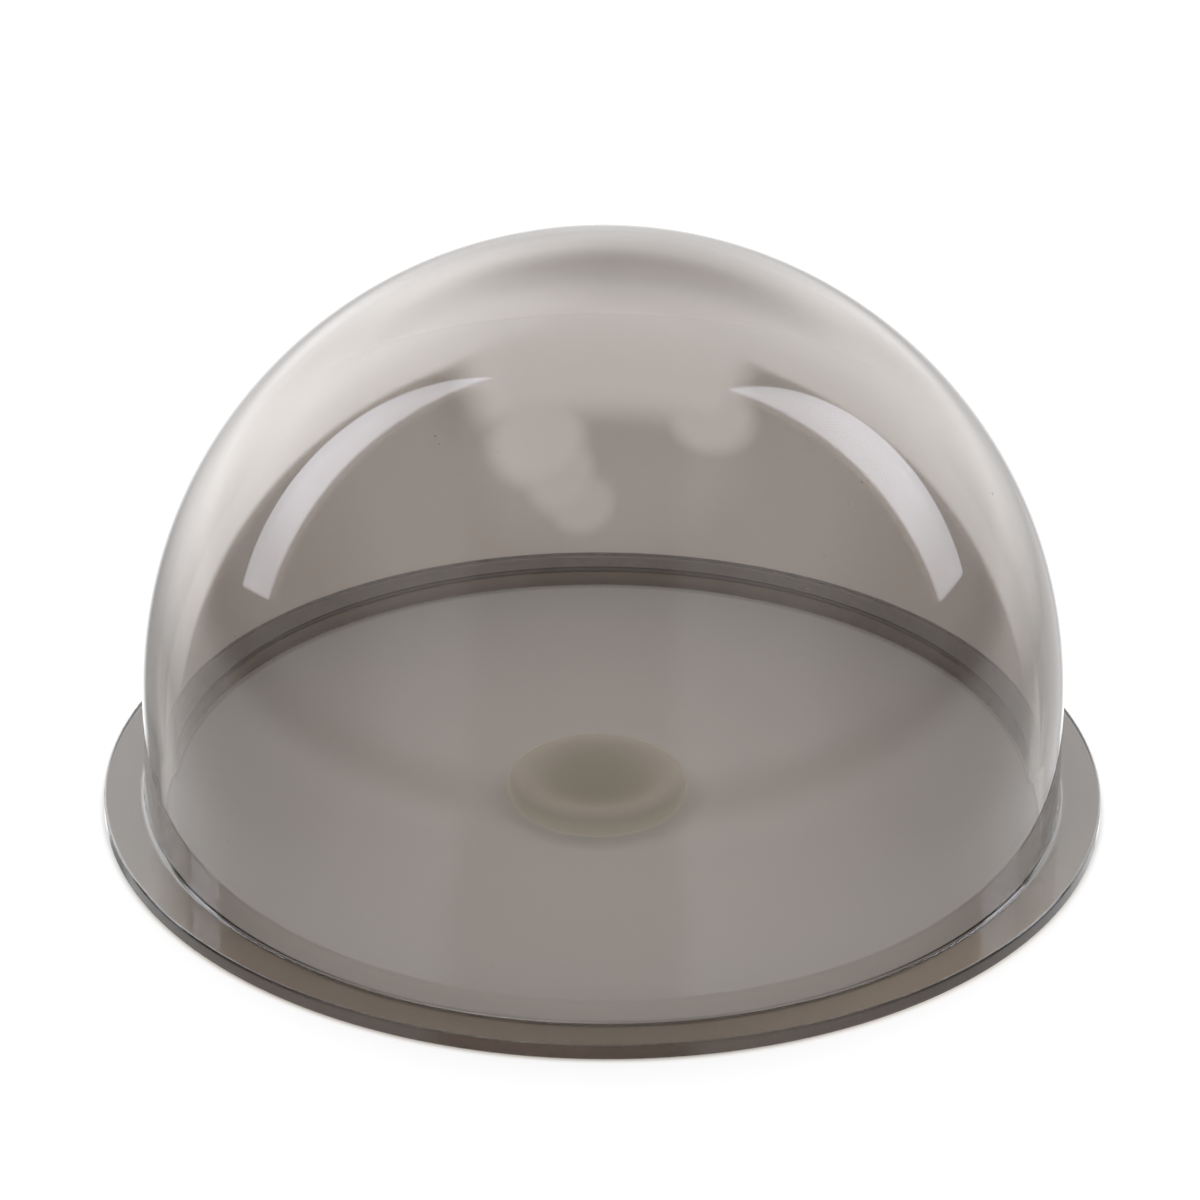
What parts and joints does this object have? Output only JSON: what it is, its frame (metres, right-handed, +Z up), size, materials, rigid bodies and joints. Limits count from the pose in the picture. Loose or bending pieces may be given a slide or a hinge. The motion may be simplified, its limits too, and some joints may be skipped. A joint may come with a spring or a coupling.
{
  "type": "camera dome cover",
  "caption": "Smoked clear hemispherical dome cover for a ceiling camera, on a short straight skirt with a thin flat mounting flange, open underneath.",
  "frame": {"origin": "centre of the seating face, the flat underside of the flange and skirt", "axes": "+Z up along the dome's axis of revolution, out of the crown; X and Y lie in the seating face"},
  "size_m": [0.158, 0.158, 0.0925],
  "materials": {
    "smoked_acrylic": "polished clear acrylic with a grey-brown smoke tint"
  },
  "bodies": {
    "root": {"dome_cover": "smoked_acrylic"}
  },
  "joints": []
}
